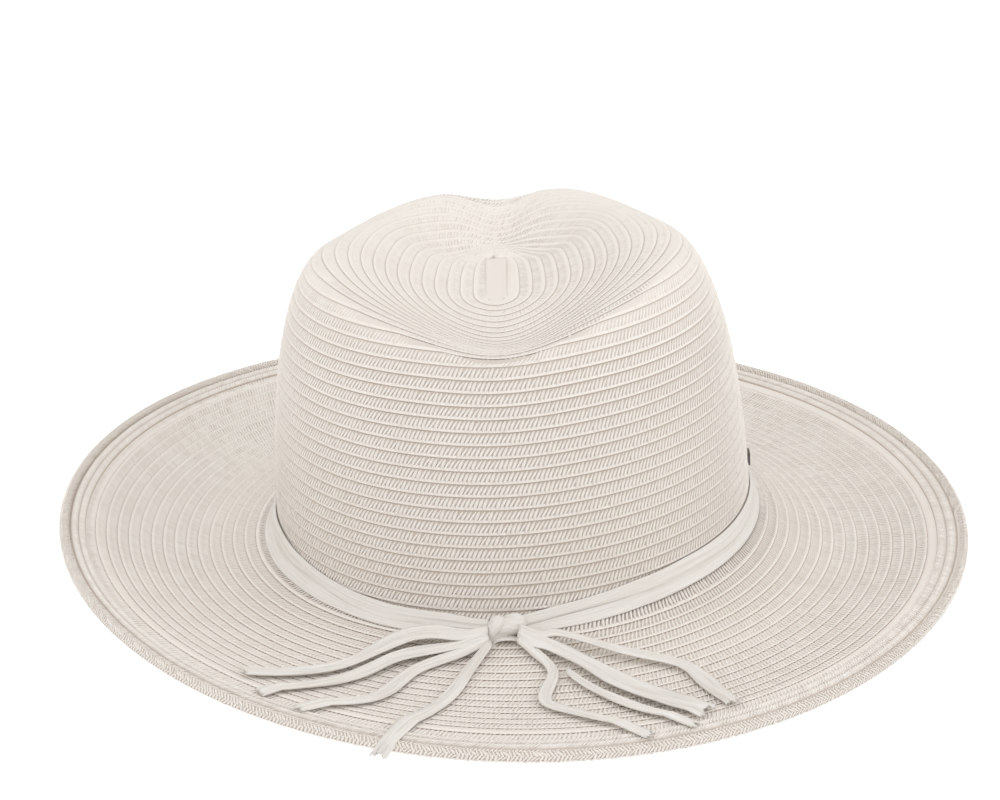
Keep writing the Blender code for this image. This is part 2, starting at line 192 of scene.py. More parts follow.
# Drawn or rolled metal: fine scratches change only its roughness
def metalMaterial(name, colour, roughness):
    made, tree, shader = newMaterial(name, roughness, metallic=1.0)
    place = addNode(tree, "ShaderNodeTexCoord").outputs["Object"]
    grain = addNode(tree, "ShaderNodeTexNoise", inputs={"Vector": place, "Scale": 900.0, "Detail": 3.0})
    tone = mixColours(tree, grain.outputs["Fac"], hexColour(colour), hexColour("8C8A88"))
    rough = addNode(tree, "ShaderNodeMapRange", inputs={
        "Value": grain.outputs["Fac"], "To Min": roughness - 0.08, "To Max": roughness + 0.08})
    tree.links.new(tone, shader.inputs["Base Color"])
    tree.links.new(rough.outputs["Result"], shader.inputs["Roughness"])
    return made


paperBraid = braidMaterial()
paperRibbon = ribbonMaterial()
twillTape = twillMaterial()
print("materials made")

# The hat's shape: the same rules as the frame's solids, so every row lies on them

crown = {
    "halfWidth": 0.086,
    "halfLength": 0.098,
    "tilt": math.radians(3.2),
    "flare": 0.0038,
    "flareHeight": 0.0028,
    "crestHeight": (0.0991, 0.0007, 0.0042, -0.0026, -0.0007),
    "crestRun": (0.0233, 0.0114, 0.0078, 0.0037, 0.0008),
    "dentSlope": (math.radians(6.5), math.radians(10.9), math.radians(-9.0), math.radians(-2.9), 0.0),
    "dentBelly": (-0.0031, -0.0041, 0.0054, 0.0, 0.0),
    "dentReach": (0.58, 0.115, 0.0, 0.0, 0.0),
    "crestReach": 0.27,
    "startHeight": 0.0849,
    "startRise": 0.0014,
    "frontPinch": (0.0064, 0.0031, math.radians(14.9)),
    "backPinch": (0.0014, 0.0094, math.radians(16.7)),
    "wallPower": 0.87,
    "startHalfWidth": 0.0033,
    "startHalfLength": 0.016,
    "ovalReach": 0.060,
    "startAside": -0.0014,
}

brim = {
    "width": 0.0712,
    "slope": (0.394, 0.176, 0.0685),
    "curl": (13.7, 2.1, 4.2, 1.1),
    "hemStart": 0.0585,
    "hemTurn": 0.38,
}


def harmonics(parts, turn):
    waves = (1.0, np.sin(turn), np.cos(2 * turn), np.sin(3 * turn), np.cos(4 * turn))
    return sum(size * wave for size, wave in zip(parts, waves))


def crestLine(turn):
    height = harmonics(crown["crestHeight"], turn)
    reach = crown["halfWidth"] - crown["flare"] - harmonics(crown["crestRun"], turn)
    for pinch, centre in ((crown["frontPinch"], math.pi / 2), (crown["backPinch"], -math.pi / 2)):
        drop, push, spread = pinch
        away = np.angle(np.exp(1j * (turn - centre)))
        share = np.exp(-((away / spread) ** 2))
        height = height - drop * share
        reach = reach + push * share
    return reach, height


def dentPoint(turn, t):
    reach, height = crestLine(turn)
    slope = harmonics(crown["dentSlope"], turn)
    first = crown["startHalfWidth"]
    span = reach - first
    start = crown["startHeight"] + crown["startRise"] * np.sin(turn)
    b0, b1, b2, b3 = (1 - t) ** 3, 3 * t * (1 - t) ** 2, 3 * t * t * (1 - t), t**3
    handle = span * harmonics(crown["dentReach"], turn)
    out = b0 * first + b1 * (first + handle * np.cos(slope))
    out = out + b2 * (reach - span * crown["crestReach"]) + b3 * reach
    up = b0 * start + b1 * (start + handle * np.sin(slope)) + (b2 + b3) * height
    share = (out - first) / span
    return out, up + 16 * share**2 * (1 - share) ** 2 * harmonics(crown["dentBelly"], turn)


def wallPoint(turn, height):
    reach, crest = crestLine(turn)
    rise = np.clip(height / crest, 0.0, 1.0)
    out = reach + (crown["halfWidth"] - crown["flare"] - reach) * (1 - rise**2) ** (crown["wallPower"] / 2)
    return out + crown["flare"] * np.exp(-height / crown["flareHeight"]), height + 0.0 * turn


def placeCrown(turn, out, up):
    share = np.clip(out / crown["ovalReach"], 0.0, 1.0)
    share = share * share * (3 - 2 * share)
    blunt = np.tanh(3 * np.sin(turn)) / math.tanh(3)
    stretch = crown["startHalfLength"] * (1 - share) * blunt
    stretch = stretch + (crown["halfLength"] - crown["halfWidth"]) * share * np.sin(turn)
    x = out * np.cos(turn) + crown["startAside"] * (1 - share)
    y = out * np.sin(turn) + stretch
    c, s = math.cos(crown["tilt"]), math.sin(crown["tilt"])
    return np.stack([x * c - up * s, y, up * c + x * s], -1)


def brimHeight(turn, r):
    slope = brim["slope"][0] + brim["slope"][1] * np.cos(turn) + brim["slope"][2] * np.sin(turn)
    curl = brim["curl"][0] + brim["curl"][1] * np.cos(turn) + brim["curl"][2] * np.sin(turn)
    curl = curl + brim["curl"][3] * np.cos(2 * turn)
    foot = crown["halfWidth"] * np.cos(turn) * math.sin(crown["tilt"])
    hem = brim["hemTurn"] * np.maximum(r - brim["hemStart"], 0.0)
    return foot - slope * r + 0.5 * curl * r * r - hem


def brimPoint(turn, r):
    x = (crown["halfWidth"] + r) * np.cos(turn)
    y = (crown["halfLength"] + r) * np.sin(turn)
    return np.stack([x, y, brimHeight(turn, r) + 0.0 * x], -1)


def brimOver(x, y):
    low, high = -0.02, 0.10
    for _ in range(30):
        r = 0.5 * (low + high)
        inside = (x / (crown["halfWidth"] + r)) ** 2 + (y / (crown["halfLength"] + r)) ** 2
        low, high = (r, high) if inside > 1.0 else (low, r)
    turn = math.atan2(y / (crown["halfLength"] + r), x / (crown["halfWidth"] + r))
    return float(brimHeight(turn, max(r, 0.0)))


# Loose ribbon ends: limp cords of flat ribbon

tails = {
    "thickness": 0.0004,
    "lift": 0.0010,
    "across": 18,
    "step": 0.0011,
    "fray": 0.0011,
    "rolledUp": 0.008,      # how far past the knot an end stays rolled up
    "arch": (0.10, 0.5),    # crown of the strip as a share of its width: flat, and added at the knot
    "creaseDepth": 0.13,    # share of the width
    # x in mm, distance past the head opening as a share of the brim, lift in mm, width in mm
    "routes": {
        "tail_left_upper": (
            (-8.6, 0.075, 2.6, 2.6), (-16, 0.085, 2.2, 4), (-27, 0.05, 2.8, 6), (-38, 0.062, 1.6, 6.6),
            (-56, 0.239, 0, 5.5), (-83, 0.379, 0, 4.5),
        ),
        "tail_left_inner": (
            (-8.6, 0.095, 2.0, 2.4), (-18, 0.13, 1.2, 3.6), (-36, 0.169, 0.5, 5), (-52, 0.337, 0, 5),
            (-77, 0.562, 0, 4),
        ),
        "tail_left_lower": (
            (-8.4, 0.115, 1.4, 2.4), (-16, 0.165, 0.8, 3.2), (-31, 0.267, 0, 4), (-44, 0.548, 0, 4),
            (-65, 0.688, 0, 3.4),
        ),
        "tail_over_edge": (
            (-8.0, 0.13, 1.0, 2.6), (-10.6, 0.18, 0.4, 3.4), (-15, 0.309, 0, 4), (-22, 0.548, 0, 4),
            (-36, 0.871, 0, 4.4), (-40, 1.07, 1.5, 4.6),
        ),
        "tail_right_upper": (
            (1.2, 0.075, 3.2, 2.4), (8, 0.10, 2.2, 2.8), (14.5, 0.098, 2.5, 2.8), (32, 0.169, 1.5, 2.8),
            (51, 0.225, 0.5, 3.4), (58, 0.351, 0, 4.8), (65, 0.604, 0, 4.8),
        ),
        "tail_right_broad": (
            (1.2, 0.095, 2.6, 3.0), (5.6, 0.13, 1.8, 4.4), (11, 0.15, 1.5, 4.6), (21, 0.253, 1.5, 5.4),
            (34, 0.421, 1.2, 7.2), (46, 0.548, 0.8, 7.4), (57, 0.674, 0, 6.8),
        ),
        "tail_right_under": (
            (16, 0.31, 0, 2.2), (22, 0.41, 0, 3), (31, 0.534, 0, 3.4), (42, 0.674, 0, 3.4),
            (53, 0.772, 0, 3.2),
        ),
        "tail_folded": (
            (1.0, 0.12, 1.6, 2.4), (6, 0.175, 0.3, 3.2), (11.5, 0.309, 0, 3), (9, 0.548, 0, 3.4),
            (20, 0.674, 0, 3.8), (39, 0.857, 0, 3.4),
        ),
    },
}


def smoothPath(points, steps):
    points = [np.array(p, float) for p in points]
    points = [2 * points[0] - points[1]] + points + [2 * points[-1] - points[-2]]
    made = []
    for i in range(1, len(points) - 2):
        p0, p1, p2, p3 = points[i - 1 : i + 3]
        for t in np.arange(steps) / steps:
            made.append(
                0.5 * (2 * p1 + (p2 - p0) * t + (2 * p0 - 5 * p1 + 4 * p2 - p3) * t * t)
                + 0.5 * (3 * p1 - p0 - 3 * p2 + p3) * t**3
            )
    made.append(points[-2])
    return np.array(made)


def makeTube(name, rings, material, closed=False, lay=None, attributes=None):
    # Rings of points joined into one closed body; lay gives each point's u, v in metres.
    count, points = rings.shape[:2]
    index = np.arange(count * points).reshape(count, points)
    nextRing = np.roll(index, -1, axis=0) if closed else index[1:]
    thisRing = index if closed else index[:-1]
    quads = np.stack([thisRing, np.roll(thisRing, -1, 1), np.roll(nextRing, -1, 1), nextRing], -1)
    faces = quads.reshape(-1, 4).tolist()
    if not closed:
        for j in range(points // 2 - 1):
            near, far = (j, j + 1, points - 2 - j, points - 1 - j), len(index) - 1
            faces.append(index[0][list(near)[::-1]].tolist())
            faces.append(index[far][list(near)].tolist())
    mesh = bpy.data.meshes.new(name)
    mesh.from_pydata(rings.reshape(-1, 3).tolist(), [], faces)
    for key, values in (attributes or {}).items():
        kind = "FLOAT_VECTOR" if values.ndim == 3 else "FLOAT"
        made = mesh.attributes.new(key, kind, "POINT")
        made.data.foreach_set("vector" if values.ndim == 3 else "value", values.astype(np.float32).ravel())
    if lay is not None:
        uv = mesh.uv_layers.new(name="lay")
        loops = np.zeros(len(mesh.loops), np.int32)
        mesh.loops.foreach_get("vertex_index", loops)
        uv.data.foreach_set("uv", lay.reshape(-1, 2)[loops].astype(np.float32).ravel())
    mesh.polygons.foreach_set("use_smooth", [True] * len(mesh.polygons))
    mesh.materials.append(material)
    made = bpy.data.objects.new(name, mesh)
    bpy.context.scene.collection.objects.link(made)
    faceOutward(mesh)
    return made


def faceOutward(mesh):
    corner = np.zeros(len(mesh.vertices) * 3)
    mesh.vertices.foreach_get("co", corner)
    corner = corner.reshape(-1, 3)
    mesh.calc_loop_triangles()
    tri = np.zeros(len(mesh.loop_triangles) * 3, np.int32)
    mesh.loop_triangles.foreach_get("vertices", tri)
    a, b, c = (corner[tri.reshape(-1, 3)[:, i]] for i in range(3))
    if np.einsum("ij,ij->i", a, np.cross(b, c)).sum() < 0:
        mesh.flip_normals()


def ribbonCreases(across, along, seed, folds=3.0):
    # Lengthwise creases that wander slowly across the ribbon, from -1 to 1
    rng = np.random.default_rng(seed)
    total = 0.0 * across * along
    for k in range(5):
        wander = 0.10 * np.sin(along * rng.uniform(25, 70) + rng.uniform(0, 6.28))
        phase = rng.uniform(0, 6.28)
        fold = np.sin(2 * math.pi * (across + wander) * folds * (0.6 + 0.45 * k) + phase)
        total = total + fold / (1.0 + 0.5 * k)
    return total / 2.4


def makeTail(name, route, seed):
    points = []
    for x, far, lift, wide in route:
        points.append((x * mm, -crown["halfLength"] - far * brim["width"], lift * mm, wide * mm))
    path = smoothPath(points, 12)
    reach = np.concatenate([[0], np.cumsum(np.linalg.norm(np.diff(path[:, :2], axis=0), axis=1))])
    at = np.linspace(0, reach[-1], int(reach[-1] / tails["step"]) + 1)
    path = np.stack([np.interp(at, reach, path[:, i]) for i in range(4)], -1)
    ahead = np.gradient(path[:, :2], axis=0)
    ahead /= np.linalg.norm(ahead, axis=1, keepdims=True)
    side = np.stack([ahead[:, 1], -ahead[:, 0]], -1)
    rng = np.random.default_rng(seed)
    ragged = 1.12 + 0.10 * np.sin(at * 90 + rng.uniform(0, 6)) + 0.07 * np.sin(at * 230 + rng.uniform(0, 6))
    v = np.linspace(-0.5, 0.5, tails["across"])
    crease = ribbonCreases(v[None, :], at[:, None], seed, folds=2.2)
    crease = crease + 0.5 * ribbonCreases(v[None, :], at[:, None], seed + 60, folds=5.0)
    near = np.exp(-at / tails["rolledUp"])[:, None]
    jag = rng.uniform(-1, 1, tails["across"]) * tails["fray"]
    flatArch, knotArch = tails["arch"]
    arch = (flatArch + knotArch * near) * path[:, 3:4] * (1 - 4 * v[None, :] ** 2)
    rings, centre = [], []
    for i in range(len(at)):
        wide = path[i, 3] * ragged[i] * (1 - 0.25 * near[i, 0])
        frayed = np.clip((i - len(at) + 5) / 4, 0, 1) * jag[:, None]
        flat = path[i, :2] + side[i] * (v * wide)[:, None] + ahead[i] * frayed
        base = np.array([brimOver(px, py) for px, py in flat]) + tails["lift"] + path[i, 2]
        top = base + arch[i] + tails["creaseDepth"] * path[i, 3] * crease[i] + tails["thickness"]
        upper = np.column_stack([flat, top])
        lower = np.column_stack([flat, top - tails["thickness"]])
        rings.append(np.concatenate([upper, lower[::-1]]))
        centre.append(upper.mean(0))
    rings = np.array(rings)
    u = np.repeat(at[:, None], 2 * len(v), 1)
    w = np.concatenate([v, v[::-1]])[None, :] * path[:, 3:4]
    lay = np.stack([u + seed * 0.03, w], -1)
    tail = makeTube(name.replace("_", "") + "Strip", rings, paperRibbon, lay=lay)
    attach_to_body(tail, "root")
    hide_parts(name)
    wide = float(np.median(path[:, 3]))


for number, (name, route) in enumerate(tails["routes"].items()):
    makeTail(name, route, number + 3)
print("loose ends laid")

# Where the braid's rows lie: k counts rows outward from the start strip,
# and phi goes once round from the knot's side.

rows = {
    "topRows": 19,          # from the start strip to the upper wall
    "wallRows": 19,         # down the wall, one wall pitch apart
    "wallPitch": 0.00431,
    "wallTop": 0.08354,     # arc above the foot of the first wall row
    "brimFirst": 0.0046,    # arc past the foot of the brim's first seam
    "brimPitch": 0.0040,
    "brimRows": 16,
    "sideShift": -0.0012,   # the brim's rows are drawn in on +X
    "driftStart": math.radians(110),
    "driftEnd": math.radians(250),
    "firstTurn": math.radians(170),     # the spiral leaves the start strip here
    "columns": 720,
    "fineness": 0.1,
}


def rowDrift(phi):
    # One row's gain in each turn is spread over the side away from the knot.
    t = np.clip((phi - rows["driftStart"]) / (rows["driftEnd"] - rows["driftStart"]), 0.0, 1.0)
    return t * t * (3 - 2 * t)


def surfaceTable():
    phi = np.linspace(0, 2 * math.pi, rows["columns"], endpoint=False)
    turn = (-math.pi / 2 - phi)[None, :]
    t = np.linspace(0, 1, 160)[:, None]
    dent = placeCrown(turn, *dentPoint(turn, t))
    crest = crestLine(turn)[1]
    fall = np.radians(np.linspace(1.0, 78.0, 120))[:, None]
    wall = placeCrown(turn, *wallPoint(turn, crest * np.cos(fall)))
    lowWall = crest * math.cos(math.radians(78.0)) * np.linspace(1, 0, 60)[1:, None] ** 1.5
    foot = placeCrown(turn, *wallPoint(turn, lowWall))
    r = np.linspace(0.0004, brim["width"] - 0.002, 150)[:, None]
    line = np.concatenate([dent, wall, foot, brimPoint(turn, r)])
    atFoot = len(dent) + len(wall) + len(foot) - 1
    pieces = np.linalg.norm(np.diff(line, axis=0), axis=2)
    arc = np.concatenate([np.zeros((1, len(phi))), np.cumsum(pieces, 0)])
    footArc = arc[atFoot]
    top, wallCount = rows["topRows"], rows["wallRows"]
    last = top + wallCount + rows["brimRows"]
    shift = rows["sideShift"] * np.exp(-(((phi - math.radians(270)) / math.radians(50)) ** 2))
    knots = np.array([0, top, top + wallCount, top + wallCount + 1, last + 1], float)
    seams = np.stack([
        0 * footArc,
        footArc - rows["wallTop"],
        footArc - rows["wallTop"] + wallCount * rows["wallPitch"],
        footArc + rows["brimFirst"] + shift,
        footArc + rows["brimFirst"] + shift + (last - top - wallCount) * rows["brimPitch"],
    ])
    fine = np.arange(0, last + 1 + rows["fineness"] / 2, rows["fineness"])
    table = np.zeros((len(fine), len(phi), 3))
    for j in range(len(phi)):
        at = np.interp(fine, knots, seams[:, j])
        for axis in range(3):
            table[:, j, axis] = np.interp(at, arc[:, j], line[:, j, axis])
    along = (np.roll(table, -1, 1) - np.roll(table, 1, 1))
    out = np.cross(np.gradient(table, axis=0), along)
    out /= np.linalg.norm(out, axis=2, keepdims=True)
    if out[-10, 0, 2] < 0:
        out = -out
    return table, out, last


table, tableOut, lastRow = surfaceTable()


def onRows(k, phi):
    # Point on the hat and its outward normal at row k and angle phi
    k, phi = np.broadcast_arrays(k, phi)
    row = np.clip(k / rows["fineness"], 0, len(table) - 1.001)
    column = np.mod(phi, 2 * math.pi) / (2 * math.pi) * rows["columns"]
    i, j = row.astype(int), np.minimum(column.astype(int), rows["columns"] - 1)
    a, b = (row - i)[..., None], (column - j)[..., None]
    i2, j2 = i + 1, (j + 1) % rows["columns"]
    parts = []
    for grid in (table, tableOut):
        nearRow = (1 - b) * grid[i, j] + b * grid[i, j2]
        farRow = (1 - b) * grid[i2, j] + b * grid[i2, j2]
        parts.append((1 - a) * nearRow + a * farRow)
    place, out = parts
    inside = np.minimum(k, 0.0)[..., None]
    place = place + inside * (table[4, j] - table[0, j]) / (4 * rows["fineness"])
    out = out / np.linalg.norm(out, axis=-1, keepdims=True)
    return place, out


def evenTurns(k, step, start=0.0, end=2 * math.pi):
    # Angles a fixed length apart along row k
    phi = np.linspace(start, end, 721)
    place = onRows(k + rowDrift(phi), phi)[0]
    reach = np.concatenate([[0], np.cumsum(np.linalg.norm(np.diff(place, axis=0), axis=1))])
    count = max(int(round(reach[-1] / step)), 3)
    return np.interp(np.arange(count) / count * reach[-1], reach, phi), reach[-1] / count


braid = {
    "ply": 0.00055,         # one braid's thickness
    # painted shade in the gaps between the strands, by row
    "weaveShade": ((0, 0.08), (14, 0.12), (19, 0.55), (36, 0.6), (39, 0.5), (44, 0.16), (56, 0.10)),
    "sideFade": 0.45,       # the gaps' painted shade is lighter away from the knot's side, as the light falls there
    # painted shadow under each row's lip, by row
    "seam": ((0, 0.35), (14, 0.45), (19, 1.0), (36, 1.0), (39, 0.9), (56, 0.75)),
    # height from a seam to the lip above it, by row
    "steps": ((0, 0.00034), (14, 0.00036), (20, 0.00070), (36, 0.00070), (39, 0.00046), (56, 0.00038)),
    "seat": 0.00062,        # how far a row's tucked edge sinks below the hat's surface
    "sample": 0.0021,
    # across the row from its tucked edge to its lip, and how far that part stands up
    "section": ((-0.20, 0.0), (0.0, 0.02), (0.06, 0.08), (0.13, 0.28), (0.24, 0.42), (0.45, 0.50),
                (0.62, 0.57), (0.73, 0.70), (0.81, 0.90), (0.88, 1.0), (0.94, 0.96), (0.98, 0.82),
                (1.0, 0.62)),
    "underside": (0.86, 0.66, 0.40, 0.10, -0.20),
}


def stepAt(k):
    return np.interp(k, *zip(*braid["steps"]))


def sectionHeight(v, k):
    across, height = zip(*braid["section"])
    return np.interp(v, across, height) * stepAt(k) - braid["seat"]


def braidTree():
    # Raises the rows' flat spiral by the braid's section, which a Float Curve holds
    tree = bpy.data.node_groups.new("sewnBraid", "GeometryNodeTree")
    face = tree.interface
    face.new_socket("Geometry", in_out="INPUT", socket_type="NodeSocketGeometry")
    for label, value in (("Seat", braid["seat"]), ("Ply", braid["ply"])):
        face.new_socket(label, in_out="INPUT", socket_type="NodeSocketFloat").default_value = value
    face.new_socket("Paper", in_out="INPUT", socket_type="NodeSocketMaterial")
    face.new_socket("Geometry", in_out="OUTPUT", socket_type="NodeSocketGeometry")
    given = addNode(tree, "NodeGroupInput").outputs
    across, under, step = (addNode(tree, "GeometryNodeInputNamedAttribute", {"data_type": "FLOAT"}, {
        "Name": label}) for label in ("across", "under", "step"))
    outward = addNode(tree, "GeometryNodeInputNamedAttribute", {"data_type": "FLOAT_VECTOR"}, {
        "Name": "outward"})
    low, high = braid["section"][0][0], braid["section"][-1][0]
    share = addNode(tree, "ShaderNodeMapRange", inputs={
        "Value": across.outputs["Attribute"], "From Min": low, "From Max": high})
    lip = addNode(tree, "ShaderNodeFloatCurve", inputs={"Value": share.outputs["Result"]})
    curve = lip.mapping.curves[0]
    for v, height in braid["section"][1:-1]:
        curve.points.new((v - low) / (high - low), height)
    curve.points[0].location = (0.0, braid["section"][0][1])
    curve.points[len(curve.points) - 1].location = (1.0, braid["section"][-1][1])
    for point in curve.points:
        point.handle_type = "AUTO_CLAMPED"
    lip.mapping.update()
    top = addNode(tree, "ShaderNodeMath", {"operation": "MULTIPLY"}, {
        0: lip.outputs[0], 1: step.outputs["Attribute"]})
    seated = addNode(tree, "ShaderNodeMath", {"operation": "SUBTRACT"}, {0: top.outputs[0], 1: given["Seat"]})
    depth = addNode(tree, "ShaderNodeMath", {"operation": "MULTIPLY"}, {
        0: under.outputs["Attribute"], 1: given["Ply"]})
    rise = addNode(tree, "ShaderNodeMath", {"operation": "SUBTRACT"}, {
        0: seated.outputs[0], 1: depth.outputs[0]})
    move = addNode(tree, "ShaderNodeVectorMath", {"operation": "SCALE"}, {
        0: outward.outputs["Attribute"], "Scale": rise.outputs[0]})
    placed = addNode(tree, "GeometryNodeSetPosition", inputs={
        "Geometry": given["Geometry"], "Offset": move.outputs[0]})
    solid = addNode(tree, "GeometryNodeRealizeInstances", inputs={"Geometry": placed.outputs[0]})
    paper = addNode(tree, "GeometryNodeSetMaterial", inputs={
        "Geometry": solid.outputs[0], "Material": given["Paper"]})
    addNode(tree, "NodeGroupOutput", inputs={"Geometry": paper.outputs[0]})
    return tree


strands = {
    "spacing": 0.00142,     # one strand of the braid's weave
    "slant": 0.0019,
    "width": 0.00098,
    "height": 0.00056,
    "stretch": 1.04,
    "wobble": 7.0,          # degrees
    "uneven": 0.30,
    "tones": (-0.15, 0.45),     # how far one strand's shade may be from the rows'
}


def strandTree():
    # Lays one spindle of paper yarn on every point, along its "lie" and facing its "face"
    tree = bpy.data.node_groups.new("yarnStrands", "GeometryNodeTree")
    face = tree.interface
    face.new_socket("Geometry", in_out="INPUT", socket_type="NodeSocketGeometry")
    for label, value in (("Stretch", strands["stretch"]), ("Width", strands["width"]),
                         ("Height", strands["height"]), ("Uneven", strands["uneven"]),
                         ("Wobble", math.radians(strands["wobble"]))):
        face.new_socket(label, in_out="INPUT", socket_type="NodeSocketFloat").default_value = value
    face.new_socket("Seed", in_out="INPUT", socket_type="NodeSocketInt").default_value = 4
    face.new_socket("Paper", in_out="INPUT", socket_type="NodeSocketMaterial")
    face.new_socket("Geometry", in_out="OUTPUT", socket_type="NodeSocketGeometry")
    given = addNode(tree, "NodeGroupInput").outputs
    spine = addNode(tree, "GeometryNodeCurvePrimitiveLine", inputs={
        "Start": (-0.5, 0.0, 0.0), "End": (0.5, 0.0, 0.0)})
    spine = addNode(tree, "GeometryNodeResampleCurve", inputs={"Curve": spine.outputs[0], "Count": 4})
    along = addNode(tree, "GeometryNodeSplineParameter").outputs["Factor"]
    swell = addNode(tree, "ShaderNodeFloatCurve", inputs={"Value": along})
    curve = swell.mapping.curves[0]
    curve.points[0].location = (0.0, 0.45)
    curve.points[1].location = (1.0, 0.45)
    for x in (0.33, 0.67):
        curve.points.new(x, 1.0)
    swell.mapping.update()
    section = addNode(tree, "GeometryNodeCurvePrimitiveCircle", inputs={"Resolution": 4, "Radius": 0.5})
    yarn = addNode(tree, "GeometryNodeCurveToMesh", inputs={
        "Curve": spine.outputs[0], "Profile Curve": section.outputs[0],
        "Scale": swell.outputs[0], "Fill Caps": True})
    smooth = addNode(tree, "GeometryNodeSetShadeSmooth", inputs={"Geometry": yarn.outputs[0]})
    lie = addNode(tree, "GeometryNodeInputNamedAttribute", {"data_type": "FLOAT_VECTOR"}, {"Name": "lie"})
    up = addNode(tree, "GeometryNodeInputNamedAttribute", {"data_type": "FLOAT_VECTOR"}, {"Name": "face"})
    turned = addNode(tree, "FunctionNodeAlignRotationToVector", {"axis": "X"}, {
        "Vector": lie.outputs["Attribute"]})
    turned = addNode(tree, "FunctionNodeAlignRotationToVector", {"axis": "Z", "pivot_axis": "X"}, {
        "Rotation": turned.outputs[0], "Vector": up.outputs["Attribute"]})
    minus = addNode(tree, "ShaderNodeMath", {"operation": "MULTIPLY"}, {0: given["Wobble"], 1: -1.0})
    swing = addNode(tree, "FunctionNodeRandomValue", {"data_type": "FLOAT"}, {
        2: minus.outputs[0], 3: given["Wobble"], "Seed": given["Seed"]})
    spin = addNode(tree, "ShaderNodeCombineXYZ", inputs={"Z": swing.outputs[1]})
    turned = addNode(tree, "FunctionNodeRotateRotation", {"rotation_space": "LOCAL"}, {
        "Rotation": turned.outputs[0], "Rotate By": spin.outputs[0]})
    least = addNode(tree, "ShaderNodeMath", {"operation": "SUBTRACT"}, {0: 1.0, 1: given["Uneven"]})
    most = addNode(tree, "ShaderNodeMath", {"operation": "ADD"}, {0: 1.0, 1: given["Uneven"]})
    size = addNode(tree, "FunctionNodeRandomValue", {"data_type": "FLOAT"}, {
        2: least.outputs[0], 3: most.outputs[0], "Seed": given["Seed"]})
    length = addNode(tree, "ShaderNodeVectorMath", {"operation": "LENGTH"}, {0: lie.outputs["Attribute"]})
    scale = addNode(tree, "ShaderNodeCombineXYZ")
    for axis, factor, label in (("X", length.outputs["Value"], "Stretch"), ("Y", size.outputs[1], "Width"),
                                ("Z", size.outputs[1], "Height")):
        grown = addNode(tree, "ShaderNodeMath", {"operation": "MULTIPLY"}, {0: factor, 1: given[label]})
        tree.links.new(grown.outputs[0], scale.inputs[axis])
    laid = addNode(tree, "GeometryNodeInstanceOnPoints", inputs={
        "Points": given["Geometry"], "Instance": smooth.outputs[0],
        "Rotation": turned.outputs[0], "Scale": scale.outputs[0]})
    paler, darker = strands["tones"]
    tone = addNode(tree, "FunctionNodeRandomValue", {"data_type": "FLOAT"}, {
        2: paler, 3: darker, "Seed": given["Seed"]})
    marked = addNode(tree, "GeometryNodeStoreNamedAttribute", {"data_type": "FLOAT", "domain": "INSTANCE"}, {
        "Geometry": laid.outputs[0], "Name": "shade", "Value": tone.outputs[1]})
    solid = addNode(tree, "GeometryNodeRealizeInstances", inputs={"Geometry": marked.outputs[0]})
    paper = addNode(tree, "GeometryNodeSetMaterial", inputs={
        "Geometry": solid.outputs[0], "Material": given["Paper"]})
    addNode(tree, "NodeGroupOutput", inputs={"Geometry": paper.outputs[0]})
    return tree


def bakeNodes(piece, tree, values):
    # Runs the tree on the piece and keeps its result as a plain mesh
    modifier = piece.modifiers.new("shape", "NODES")
    modifier.node_group = tree
    names = {item.name: item.identifier for item in tree.interface.items_tree if item.in_out == "INPUT"}
    for label, value in values.items():
        modifier[names[label]] = value
    graph = bpy.context.evaluated_depsgraph_get()
    mesh = bpy.data.meshes.new_from_object(piece.evaluated_get(graph), depsgraph=graph)
    piece.modifiers.remove(modifier)
    old = piece.data
    name = old.name
    piece.data = mesh
    bpy.data.meshes.remove(old)
    mesh.name = name
    return piece


sewnBraid = braidTree()
yarnStrands = strandTree()


def makeRows(name, first, last, lead=0.0):
    # One stretch of the spiral, from turn first to turn last, as a closed strip
    v = np.array([p[0] for p in braid["section"]])
    v = np.concatenate([v, braid["underside"]])
    under = np.concatenate([np.zeros(len(braid["section"])), np.ones(len(braid["underside"]))])
    k, phi, reach = [], [], []
    at = 0.0
    for n in range(first, last):
        turns, step = evenTurns(n + 0.5, braid["sample"], lead if n == first else 0.0)
        k.append(n + rowDrift(turns))
        phi.append(turns)
        reach.append(at + np.arange(len(turns)) * step)
        at = reach[-1][-1] + step
    k.append([last + 0.0])
    phi.append([0.0])
    reach.append([at])
    k, phi, reach = (np.concatenate(part) for part in (k, phi, reach))
    limit = np.minimum(k[:, None] + v[None, :], lastRow + 0.05)
    place, out = onRows(limit, phi[:, None])
    ones = np.ones((len(k), 1))
    # Painted shade: a dark line under each lip (seam) and dark gaps between the strands (weave), lighter away
    # from the knot's side
    seam = np.clip(1 - np.maximum(v, 0) / 0.14, 0, 1)
    weave = np.where((v > -0.01) & (v < 0.76), 1.0, 0.0)
    facing = 1 - braid["sideFade"] + braid["sideFade"] * np.cos(phi)
    weaveShade = (np.interp(k, *zip(*braid["weaveShade"])) * facing)[:, None]
    shadeAmount = np.interp(k, *zip(*braid["seam"]))[:, None]
    groove = np.maximum(shadeAmount * seam, weaveShade * weave) * (1 - under)
    attributes = {"across": ones * v, "under": ones * under, "outward": out, "groove": groove,
                  "step": stepAt(k)[:, None] + 0 * v, "shade": 0.0 * ones * v + 0.1}
    piece = makeTube(name, place, paperBraid, attributes=attributes)
    return bakeNodes(piece, sewnBraid, {"Paper": paperBraid})


def makePoints(name, place, lie, face):
    mesh = bpy.data.meshes.new(name)
    mesh.from_pydata(place.tolist(), [], [])
    for key, values in (("lie", lie), ("face", face)):
        made = mesh.attributes.new(key, "FLOAT_VECTOR", "POINT")
        made.data.foreach_set("vector", values.astype(np.float32).ravel())
    made = bpy.data.objects.new(name, mesh)
    bpy.context.scene.collection.objects.link(made)
    return made


